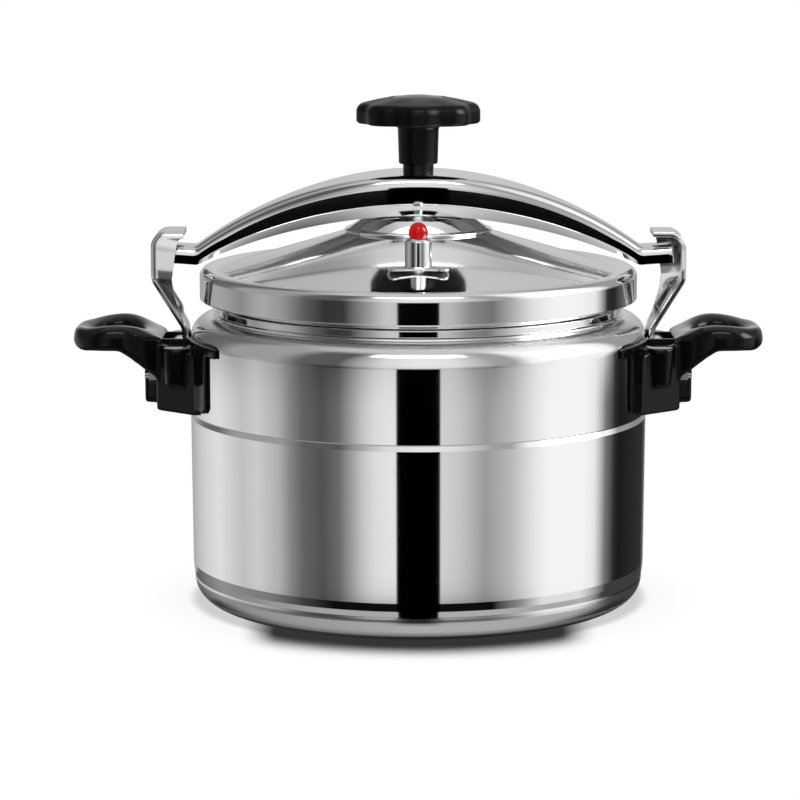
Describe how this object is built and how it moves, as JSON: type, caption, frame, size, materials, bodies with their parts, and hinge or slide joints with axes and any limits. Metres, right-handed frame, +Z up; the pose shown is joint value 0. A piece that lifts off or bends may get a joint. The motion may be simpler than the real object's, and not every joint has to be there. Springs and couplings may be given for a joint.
{
  "type": "pressure canner",
  "caption": "Polished aluminium pressure canner with an arched clamp beam, knob screw, swinging side hooks, black side handles and a weighted vent with a red cap.",
  "frame": {"origin": "centre of the base, on the surface the vessel stands on", "axes": "+Z up through the screw, +X along the beam to the right-hand handle, -Y towards the weighted vent at the front"},
  "size_m": [0.3632, 0.24, 0.2662],
  "materials": {
    "polished_aluminium": "mirror-polished spun aluminium",
    "satin_aluminium": "satin aluminium",
    "polished_steel": "polished pressed steel",
    "plated_steel": "zinc-plated steel",
    "black_enamel": "black enamelled steel",
    "screw_steel": "dark oiled steel",
    "bakelite": "moulded black bakelite",
    "gloss_black": "glossy black plastic",
    "silicone": "milky silicone rubber",
    "black_rubber": "black rubber",
    "red_cap": "glossy red plastic"
  },
  "bodies": {
    "pot": {"pot_base": "polished_aluminium", "pot_body": "polished_aluminium", "pot_neck": "polished_aluminium", "rack": "satin_aluminium", "left_bracket": "black_enamel", "right_bracket": "black_enamel", "bracket_rivets": "satin_aluminium", "left_handle": "bakelite", "right_handle": "bakelite", "handle_bolts": "plated_steel", "handle_nuts": "plated_steel", "left_hook_pin": "plated_steel", "right_hook_pin": "plated_steel"},
    "seal": {"gasket": "silicone"},
    "lid": {"lid_shell": "polished_aluminium", "lid_rim": "polished_aluminium", "centre_plate": "polished_aluminium", "centre_rivets": "satin_aluminium", "thrust_foot": "plated_steel", "vent_pipe": "satin_aluminium", "vent_washer": "black_rubber", "vent_nut": "plated_steel", "vent_strainer": "plated_steel", "safety_plug": "plated_steel", "plug_washer": "black_rubber", "plug_nut": "plated_steel"},
    "screw": {"spindle": "screw_steel", "knob": "bakelite", "knob_screw": "plated_steel", "knob_cap": "gloss_black"},
    "carrier": {"beam_bush": "screw_steel", "stop_washer": "plated_steel"},
    "clamp_beam": {"beam": "polished_steel"},
    "weight": {"regulator_weight": "polished_steel", "regulator_cap": "red_cap"},
    "left_hook_arm": {"left_hook": "polished_steel"},
    "right_hook_arm": {"right_hook": "polished_steel"}
  },
  "joints": [
    {"name": "lid_lift", "type": "slide", "parent": "pot", "child": "seal", "axis": [0, 0, 1], "range_m": [0, 0.1]},
    {"name": "lid_turn", "type": "hinge", "parent": "seal", "child": "lid", "pos_m": [0, 0, 0.17], "axis": [0, 0, 1], "range_deg": [-360, 0]},
    {"name": "knob_turn", "type": "hinge", "parent": "lid", "child": "screw", "pos_m": [0, 0, 0.21], "axis": [0, 0, 1], "range_deg": [-351, 101]},
    {"name": "beam_drop", "type": "slide", "parent": "lid", "child": "carrier", "axis": [0, 0, 1], "range_m": [-0.00084, 0.00292]},
    {"name": "beam_turn", "type": "hinge", "parent": "carrier", "child": "clamp_beam", "pos_m": [0, 0, 0.21], "axis": [0, 0, 1], "range_deg": [-65, 0]},
    {"name": "weight_lift", "type": "slide", "parent": "lid", "child": "weight", "axis": [0, 0, 1], "range_m": [0, 0.012]},
    {"name": "left_hook_swing", "type": "hinge", "parent": "pot", "child": "left_hook_arm", "pos_m": [-0.1265, 0, 0.133], "axis": [0, -1, 0], "range_deg": [0, 16]},
    {"name": "right_hook_swing", "type": "hinge", "parent": "pot", "child": "right_hook_arm", "pos_m": [0.1265, 0, 0.133], "axis": [0, 1, 0], "range_deg": [0, 16]}
  ],
  "couplings": [
    {"joint": "lid_turn", "follows": "lid_lift", "rad_per_m": -62.831},
    {"joint": "knob_turn", "follows": "beam_drop", "rad_per_m": -2094.4}
  ]
}
